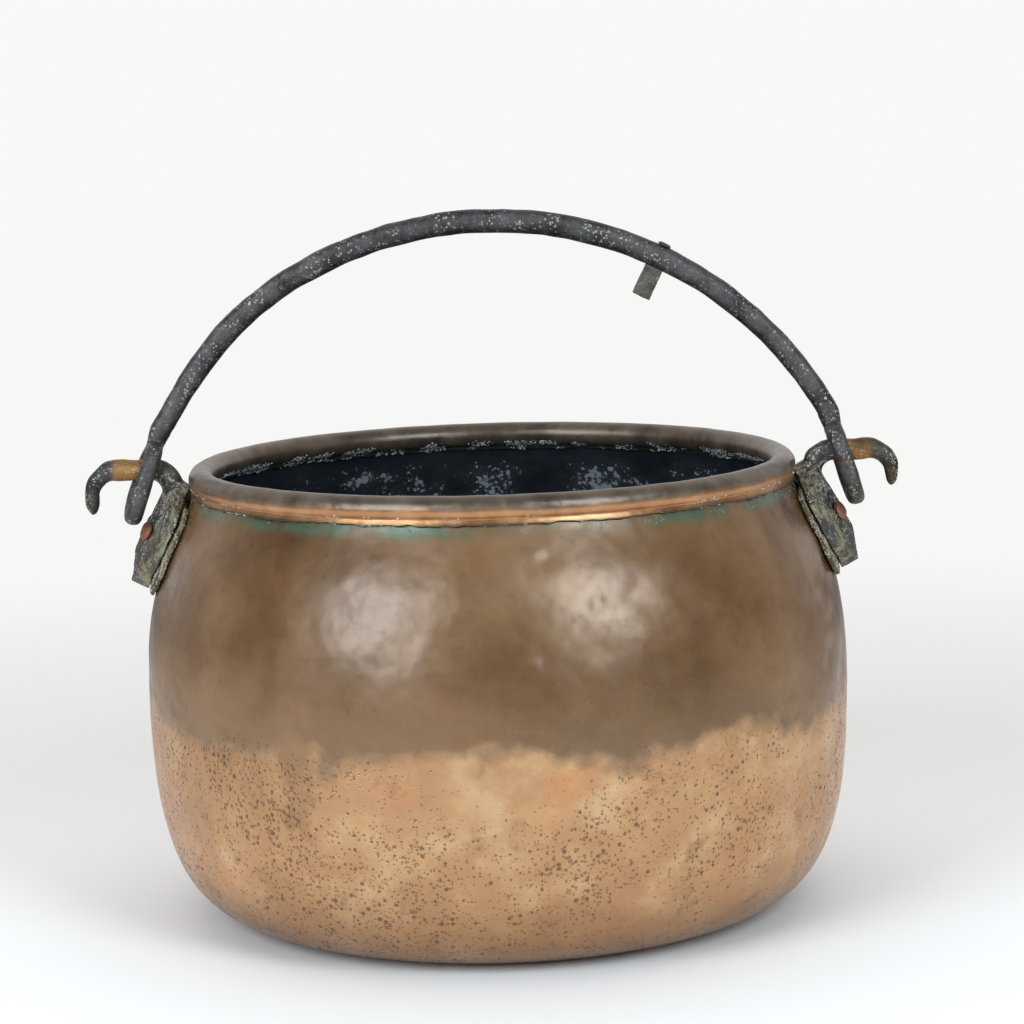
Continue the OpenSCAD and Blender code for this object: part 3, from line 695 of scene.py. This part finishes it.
def rough_rim(mesh):
    """Ragged lips, and flats along the bead where it was dressed down."""
    spots = points_of(mesh)
    lip_top, lip_run, most_lift = -0.0078, 0.0044, 0.0030
    reach = np.linalg.norm(spots[:, :2], axis=1)
    across = (reach - BEAD[0]) * OUT_NECK[0] + (spots[:, 2] - BEAD[1]) * OUT_NECK[1]
    along = (reach - BEAD[0]) * UP_NECK[0] + (spots[:, 2] - BEAD[1]) * UP_NECK[1]
    for n in range(len(spots)):
        x, y, z = spots[n]
        side = 7.0 if across[n] > 0.0 else 31.0
        where = Vector((x * 26.0, y * 26.0, side))
        fine = Vector((x * 150.0, y * 150.0, side))
        if along[n] < lip_top:
            share = (lip_top - along[n]) / lip_run
            cut = 0.5 + 0.5 * solid_noise.noise(where) + 0.35 * solid_noise.noise(fine)
            along[n] += share * most_lift * max(0.0, min(1.2, cut))
        else:
            push = 0.5 + 0.5 * solid_noise.noise(Vector((x * 60.0, y * 60.0, z * 60.0)))
            shrink = 1.0 - 0.05 * push
            across[n] *= shrink
            along[n] *= shrink
    new_reach = BEAD[0] + across * OUT_NECK[0] + along * UP_NECK[0]
    new_height = BEAD[1] + across * OUT_NECK[1] + along * UP_NECK[1]
    spots[:, 0] *= new_reach / reach
    spots[:, 1] *= new_reach / reach
    spots[:, 2] = new_height
    put_points(mesh, spots)


rough_rim(rim.data)
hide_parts("rim_band")
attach(rim, "pot")


# ---------------------------------------------------------------- forged iron
def forged_tree():
    """Sinks a skin in by hammer flats and by fine scale. It never grows."""
    tree, nodes, given = new_tree(
        "forged skin", ("Hammer depth", "Float", 0.0008), ("Hammer size", "Float", 0.012),
        ("Scale depth", "Float", 0.0002), ("Scale size", "Float", 0.002), ("Seed", "Float", 1.0),
        ("Finish", "Material", None))
    spot = nodes.add("GeometryNodeInputPosition").outputs[0]
    cells = nodes.add("ShaderNodeTexVoronoi", feature="SMOOTH_F1")
    for name, value in (("Vector", nodes.elsewhere(spot, given["Seed"])), ("Smoothness", 0.6),
                        ("Scale", nodes.math("DIVIDE", 1.0, given["Hammer size"]))):
        nodes.put(socket(cells.inputs, name), value)
    blow = nodes.math("SUBTRACT", 1.0, nodes.span(cells.outputs["Distance"], 0.1, 0.75))
    scale = nodes.noise(spot, nodes.math("DIVIDE", 1.0, given["Scale size"]), 3.0, 0.6, given["Seed"])
    sunk = nodes.math("ADD", nodes.math("MULTIPLY", blow, given["Hammer depth"]),
                      nodes.math("MULTIPLY", scale, given["Scale depth"]))
    normal = nodes.add("GeometryNodeInputNormal").outputs[0]
    inwards = nodes.scaled(normal, nodes.math("MULTIPLY", sunk, -1.0))
    moved = nodes.add("GeometryNodeSetPosition", {"Geometry": given["Geometry"], "Offset": inwards})
    end_tree(nodes, moved.outputs[0], given["Finish"])
    return tree


forged = forged_tree()


def one_skin(obj, voxel, rounds=2):
    """Remakes the piece as one closed skin of even faces, slightly worn down."""
    step = obj.modifiers.new("skin", "REMESH")
    step.mode = "VOXEL"
    step.voxel_size = voxel
    step.adaptivity = 0.0
    wear = obj.modifiers.new("wear", "SMOOTH")
    wear.factor = 0.5
    wear.iterations = rounds
    bake_steps(obj)


def forge(name, mesh, finish, voxel, rounds=2, **sizes):
    blank = new_object(name + "_blank", mesh)
    one_skin(blank, voxel, rounds)
    obj = grow(name, forged, {"Finish": finish, **spoken(sizes)}, blank.data)
    drop(blank)
    smooth_shaded(obj.data)
    return obj


def copy_of(*nodes):
    """One merged mesh of these CAD nodes."""
    shape = bmesh.new()
    for node in nodes:
        source = frame["nodes"][node]
        mesh = source.data.copy()
        mesh.transform(source.matrix_world)
        shape.from_mesh(mesh)
        bpy.data.meshes.remove(mesh)
    bmesh.ops.remove_doubles(shape, verts=shape.verts, dist=1e-6)
    mesh = bpy.data.meshes.new("copy")
    shape.to_mesh(mesh)
    shape.free()
    return mesh


# Sizes of the bail, in metres. The pivot comes from its joint, and the rest follow the CAD, with the
# bars a touch fuller because forging only sinks them. The legs thin out towards the eyes.
EYE_X = 0.223638
PIVOT_Z = frame["record"]["behaviour"]["joints"][0]["pos_m"][2]
EYE_LEAN = math.radians(17.0)
EYE_R = 0.01475
EYE_BAR_R = 0.0060
EYE_DROP = 0.017
STEM = 0.012
ARC_R = 0.24695
ARC_Z = 0.192154
ARC_HALF = math.radians(60.92)
BAR_R = 0.0082
LEG_R = 0.0075


def bar_tree():
    """A forged bar along its guide, four-sided with rounded corners, before it is skinned."""
    tree, nodes, given = new_tree(
        "forged bar", ("Path", "Object", None), ("Sides", "Int", 32), ("Flatness", "Float", 0.04),
        ("Finish", "Material", None))
    path = nodes.add("GeometryNodeObjectInfo", {"Object": given["Path"]}).outputs["Geometry"]
    circle = nodes.add("GeometryNodeCurvePrimitiveCircle", {"Resolution": given["Sides"], "Radius": 1.0})
    spot = nodes.add("GeometryNodeInputPosition").outputs[0]
    parts = nodes.apart(spot)
    turn = nodes.math("ARCTAN2", parts[1], parts[0])
    corner = nodes.math("COSINE", nodes.math("MULTIPLY_ADD", turn, 4.0, math.pi))
    swell = nodes.math("MULTIPLY_ADD", corner, given["Flatness"], 1.0)
    squared = nodes.add("GeometryNodeSetPosition", {"Geometry": circle.outputs[0],
                                                    "Position": nodes.scaled(spot, swell)})
    bar = nodes.add("GeometryNodeCurveToMesh", {"Curve": path, "Profile Curve": squared.outputs[0],
                                                "Fill Caps": True})
    if "Scale" in [s.name for s in bar.inputs]:
        nodes.put(bar.inputs["Scale"], nodes.add("GeometryNodeInputRadius").outputs[0])
    end_tree(nodes, bar.outputs[0], given["Finish"])
    return tree


def bail_guides():
    """The bar's arc with its two stems, and one closed loop for each eye."""
    turns = np.linspace(-ARC_HALF, ARC_HALF, 120)
    arc = [(ARC_R * math.sin(t), 0.0, ARC_Z + ARC_R * math.cos(t)) for t in turns]
    arc_r = [BAR_R - (BAR_R - LEG_R) * min(1.0, max(0.0, (abs(t) - 0.45) / 0.5)) for t in turns]

    def eye_point(side, across, up):
        x = EYE_X - up * math.sin(EYE_LEAN)
        return (side * x, across, PIVOT_Z + up * math.cos(EYE_LEAN))

    def stem(side):
        ups = np.linspace(EYE_R, EYE_R + STEM, 6)
        return [eye_point(side, 0.0, up) for up in ups]

    stem_r = list(np.linspace(EYE_BAR_R, LEG_R + 0.0006, 6))
    bar = stem(-1)[:-1] + arc + stem(1)[::-1][1:]
    bar_r = stem_r[:-1] + arc_r + stem_r[::-1][1:]

    def loop(side):
        row = []
        for t in np.linspace(0.0, math.pi, 26):
            row.append(eye_point(side, EYE_R * math.cos(t), EYE_R * math.sin(t)))
        for t in np.linspace(math.pi, 2.0 * math.pi, 26):
            row.append(eye_point(side, EYE_R * math.cos(t), EYE_R * math.sin(t) - EYE_DROP))
        return row

    loops = [loop(-1), loop(1)]
    return [bar] + loops, [False, True, True], [bar_r] + [[EYE_BAR_R] * len(loops[0])] * 2


rows, closed, radii = bail_guides()
bail_path = guide("bail path", rows, closed, radii)
bail_blank = grow("bail_bar", bar_tree(), {"Path": bail_path, "Finish": bail_iron, "Flatness": 0.035})
drop(bail_path)


def settle_left_leg(mesh):
    """The left leg was pulled in a little towards the vessel, its eye less so."""
    spots = points_of(mesh)
    low = np.clip((0.400 - spots[:, 2]) / 0.075, 0.0, 1.0)
    low = low * low * (3.0 - 2.0 * low)
    near_eye = np.clip((0.312 - spots[:, 2]) / 0.030, 0.0, 1.0)
    shift = 0.0052 * low - 0.0038 * near_eye
    spots[:, 0] += np.where(spots[:, 0] < 0.0, shift, 0.0)
    # The left eye is twisted, so that its back leg shows on the outside.
    twist = math.radians(-9.0) * np.clip((0.314 - spots[:, 2]) / 0.012, 0.0, 1.0)
    twist = np.where(spots[:, 0] < 0.0, twist, 0.0)
    middle = -(EYE_X - (spots[:, 2] - PIVOT_Z) * math.tan(EYE_LEAN)) + 0.0014
    x, y = spots[:, 0] - middle, spots[:, 1].copy()
    spots[:, 0] = middle + x * np.cos(twist) + y * np.sin(twist)
    spots[:, 1] = y * np.cos(twist) - x * np.sin(twist)
    put_points(mesh, spots)


settle_left_leg(bail_blank.data)
bail = forge("bail_forged", bail_blank.data, bail_iron, 0.0009, 3, hammer_depth=0.0006, hammer_size=0.017,
             scale_depth=0.0003, scale_size=0.0030, seed=5.0)
drop(bail_blank)
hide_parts("bail")
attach(bail, "handle")

peg = forge("bail_peg_forged", copy_of("bail_peg"), peg_iron, 0.0005, 3, hammer_depth=0.0005,
            hammer_size=0.007, scale_depth=0.0002, scale_size=0.002, seed=6.0)
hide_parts("bail_peg")
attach(peg, "handle")


def set_hooks(mesh, side):
    """Each hook thins towards its tip. The left tip drops, and the right one sits higher."""
    spots = points_of(mesh)
    bend_x, bend_z, bend_r = 0.240638, 0.270604, 0.016
    x, z = side * spots[:, 0] - bend_x, spots[:, 2] - bend_z
    turn = np.clip(np.arctan2(x, np.maximum(z, 0.0)) / (0.5 * math.pi), 0.0, 1.0)
    turn = np.where(z < 0.0, 1.0, turn)
    run_on = np.clip(np.where(z < 0.0, -z, 0.0) / 0.010, 0.0, 1.0)
    thin = np.where(x > 0.0, 1.0 - 0.32 * turn - 0.14 * run_on, 1.0)
    away = np.where(z < 0.0, x, np.hypot(x, z))
    new = np.where(x > 0.0, bend_r + (away - bend_r) * thin, away)
    share = new / np.maximum(away, 1e-6)
    bent = x > 0.0
    spots[:, 0] = np.where(bent, side * (bend_x + np.where(z < 0.0, new, x * share)), spots[:, 0])
    spots[:, 2] = np.where(bent & (z >= 0.0), bend_z + z * share, spots[:, 2])
    spots[:, 1] *= np.where(bent, thin, 1.0)
    out = side * spots[:, 0] - 0.243
    tip = np.clip(out / 0.020, 0.0, 1.0)
    low = np.clip((0.283 - spots[:, 2]) / 0.016, 0.0, 1.0)
    spots[:, 2] += tip * low * (-0.0035 if side < 0 else 0.0030)
    put_points(mesh, spots)


for side, word in ((-1, "left"), (1, "right")):
    mesh = copy_of(word + "_lug")
    set_hooks(mesh, side)
    lug = forge(word + "_lug_forged", mesh, lug_iron, 0.0008, 3, hammer_depth=0.0011, hammer_size=0.012,
                scale_depth=0.0004, scale_size=0.0030, seed=10.0 + side)
    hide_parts(word + "_lug")
    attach(lug, "pot")
    pad = forge(word + "_pad_cut", copy_of(word + "_lug_pad"), packing_plate, 0.0007, 2, hammer_depth=0.0004,
                hammer_size=0.010, scale_depth=0.0003, scale_size=0.0030, seed=14.0 + side)
    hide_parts(word + "_lug_pad")
    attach(pad, "pot")

RIVETS = ("left_front_rivet", "left_back_rivet", "right_front_rivet", "right_back_rivet")
rivets = forge("rivets_set", copy_of(*RIVETS), rivet_copper, 0.0005, 2, hammer_depth=0.0004,
               hammer_size=0.006, scale_depth=0.0001, scale_size=0.0020, seed=20.0)
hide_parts(*RIVETS)
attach(rivets, "pot")

rim_wire = frame["nodes"]["rim_wire"]
rim_wire.data.materials.clear()
rim_wire.data.materials.append(rim_iron)


# ---------------------------------------------------------------- crumbs
def crumb_tree():
    """Crumbs of scale strewn over a surface between two heights, in patches."""
    tree, nodes, given = new_tree(
        "strewn crumbs", ("Surface", "Object", None), ("Per area", "Float", 1e6), ("Low", "Float", 0.0),
        ("High", "Float", 1.0), ("Patch size", "Float", 0.02), ("Patch cut", "Float", 0.5),
        ("Least", "Float", 0.0002), ("Most", "Float", 0.0006), ("Out from", "Float", 0.0),
        ("Facing", "Float", -1.0), ("Seed", "Int", 1), ("Finish", "Material", None))
    surface = nodes.add("GeometryNodeObjectInfo", {"Object": given["Surface"]}).outputs["Geometry"]
    spot = nodes.add("GeometryNodeInputPosition").outputs[0]
    parts = nodes.apart(spot)
    patch = nodes.noise(spot, nodes.math("DIVIDE", 1.0, given["Patch size"]), 3.0, 0.6, 1.5)
    wanted = nodes.math("GREATER_THAN", patch, given["Patch cut"])
    wanted = nodes.math("MULTIPLY", wanted, nodes.math("GREATER_THAN", parts[2], given["Low"]))
    wanted = nodes.math("MULTIPLY", wanted, nodes.math("LESS_THAN", parts[2], given["High"]))
    reach = nodes.reach(parts)
    face = nodes.vector("DOT_PRODUCT", nodes.add("GeometryNodeInputNormal").outputs[0], spot)
    outward = nodes.math("GREATER_THAN", nodes.math("MULTIPLY", face, given["Facing"]), 0.0)
    wanted = nodes.math("MULTIPLY", wanted, outward)
    wanted = nodes.math("MULTIPLY", wanted, nodes.math("GREATER_THAN", reach, given["Out from"]))
    strewn = nodes.add("GeometryNodeDistributePointsOnFaces",
                       {"Mesh": surface, "Density": nodes.math("MULTIPLY", wanted, given["Per area"]),
                        "Seed": given["Seed"]})
    crumb = nodes.add("GeometryNodeMeshIcoSphere", {"Radius": 1.0, "Subdivisions": 1}).outputs[0]
    pick = nodes.add("FunctionNodeRandomValue", data_type="FLOAT")
    nodes.put(socket(pick.inputs, "Min"), given["Least"])
    nodes.put(socket(pick.inputs, "Max"), given["Most"])
    nodes.put(socket(pick.inputs, "Seed"), given["Seed"])
    size = socket(pick.outputs, "Value")
    flat = nodes.together(size, size, nodes.math("MULTIPLY", size, 0.5))
    laid = nodes.add("GeometryNodeInstanceOnPoints", {"Points": strewn.outputs["Points"], "Instance": crumb,
                                                      "Rotation": strewn.outputs["Rotation"],
                                                      "Scale": flat}).outputs[0]
    end_tree(nodes, laid, given["Finish"])
    return tree


crumbs = crumb_tree()


def strew(name, surface, slot_name, finish, **sizes):
    obj = grow(name, crumbs, {"Surface": surface, "Finish": finish, **spoken(sizes)})
    smooth_shaded(obj.data)
    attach(obj, "pot")
    return obj


strew("verdigris_under_rim", vessel, "copper_body", verdigris, per_area=3e5, low=0.2660, high=0.2705,
      patch_size=0.016, patch_cut=0.54, least=0.0002, most=0.0006, facing=1.0, seed=4)
strew("verdigris_on_lip", rim, "copper_rim", verdigris, per_area=4e5, low=0.2680, high=0.2715,
      patch_size=0.012, patch_cut=0.52, least=0.0002, most=0.0006, facing=1.0, seed=5)
strew("tin_scale_on_lip", rim, "copper_rim", tin_scale, per_area=6e5, low=0.2680, high=0.2765,
      patch_size=0.020, patch_cut=0.52, least=0.0003, most=0.0009, facing=-1.0, seed=6)
for side, word in ((-1, "left"), (1, "right")):
    strew(word + "_lug_limescale", bpy.data.objects[word + "_lug_forged"], "lug_iron", limescale,
          per_area=5e5, low=0.212, high=0.284, patch_size=0.012, patch_cut=0.50, least=0.0001,
          most=0.0005, facing=1.0, seed=30 + side)
    strew(word + "_pad_limescale", bpy.data.objects[word + "_pad_cut"], "packing_plate", limescale,
          per_area=1.0e6, low=0.209, high=0.268, patch_size=0.010, patch_cut=0.48, least=0.0001,
          most=0.0006, facing=1.0, seed=40 + side)


# ---------------------------------------------------------------- floor, light and camera
def studio():
    floor_mesh = bpy.data.meshes.new("studio_floor")
    ring = [(9.0 * math.cos(t), 9.0 * math.sin(t), 0.0) for t in np.linspace(0, 2 * math.pi, 97)[:-1]]
    floor_mesh.from_pydata(ring, [], [list(range(len(ring)))])
    floor = new_object("studio_floor", floor_mesh)
    material, nodes, shader, at = new_material("studio floor")
    reach = nodes.vector("LENGTH", at)
    camera_sees = nodes.add("ShaderNodeLightPath").outputs["Is Camera Ray"]
    far_lit = nodes.span(reach, 0.80, 1.70)
    wider = nodes.math("SUBTRACT", nodes.span(reach, 0.42, 1.50), far_lit)
    far = nodes.math("ADD", far_lit, nodes.math("MULTIPLY", camera_sees, wider))
    nodes.put(shader.inputs["Base Color"], shade(0.93, 0.91, 0.885))
    shader.inputs["Roughness"].default_value = 0.7
    shader.inputs["Specular IOR Level"].default_value = 0.1
    tone = nodes.mix(camera_sees, shade(0.30, 0.30, 0.31), shade(0.93, 0.93, 0.925))
    glow = nodes.add("ShaderNodeEmission", {"Color": tone, "Strength": 1.0}).outputs[0]
    both = nodes.add("ShaderNodeMixShader", {0: far, 1: shader.outputs[0], 2: glow}).outputs[0]
    nodes.put(material.node_tree.nodes["Material Output"].inputs["Surface"], both)
    floor_mesh.materials.append(material)

    world = bpy.data.worlds.new("studio air")
    bpy.context.scene.world = world
    world.use_nodes = True
    nodes = Nodes(world.node_tree)
    way = nodes.apart(nodes.add("ShaderNodeTexCoord").outputs["Generated"])
    behind = nodes.span(way[1], 0.05, 0.80)
    seen = nodes.mix(behind, shade(0.22, 0.22, 0.23), shade(0.90, 0.90, 0.91))
    camera_sees = nodes.add("ShaderNodeLightPath").outputs["Is Camera Ray"]
    tone = nodes.mix(camera_sees, seen, shade(0.94, 0.94, 0.94))
    back = world.node_tree.nodes["Background"]
    nodes.put(back.inputs["Color"], tone)
    back.inputs["Strength"].default_value = 1.0

    def softbox(name, spot, aim, wide, tall, power, tint, glossy=True):
        lamp = bpy.data.lights.new(name, "AREA")
        lamp.shape = "RECTANGLE"
        lamp.size, lamp.size_y = wide, tall
        lamp.energy = power
        lamp.color = tint
        obj = new_object(name, lamp)
        obj.location = spot
        obj.rotation_euler = (Vector(aim) - Vector(spot)).to_track_quat("-Z", "Y").to_euler()
        obj.visible_camera = False
        obj.visible_glossy = glossy

    softbox("left softbox", (-1.34, -1.62, 1.06), (-0.07, -0.20, 0.22), 1.10, 1.30, 36.0, (0.74, 0.88, 1.0))
    softbox("right softbox", (1.15, -1.66, 1.20), (0.06, -0.20, 0.23), 0.80, 1.20, 29.0, (0.72, 0.88, 1.0))
    softbox("top light", (0.0, 0.1, 2.9), (0.0, 0.0, 0.0), 3.4, 3.0, 33.0, (1.0, 0.96, 0.91), False)


def camera():
    place = (0.0, -2.0, 0.538)
    pitch, roll, pan = 0.142, -0.029, 0.006
    right = Vector((math.cos(pan), -math.sin(pan), 0.0))
    ahead = Vector((math.cos(pitch) * math.sin(pan), math.cos(pitch) * math.cos(pan), -math.sin(pitch)))
    up = Vector((math.sin(pitch) * math.sin(pan), math.sin(pitch) * math.cos(pan), math.cos(pitch)))
    turned_right = math.cos(roll) * right + math.sin(roll) * up
    turned_up = math.cos(roll) * up - math.sin(roll) * right
    lens = bpy.data.cameras.new("front view")
    lens.lens = 110.5
    lens.sensor_width = 36.0
    obj = new_object("front view", lens)
    spin = Matrix((turned_right, turned_up, -ahead)).transposed().to_4x4()
    obj.matrix_world = Matrix.Translation(place) @ spin
    bpy.context.scene.camera = obj


studio()
camera()
bpy.context.scene.view_settings.view_transform = "Standard"
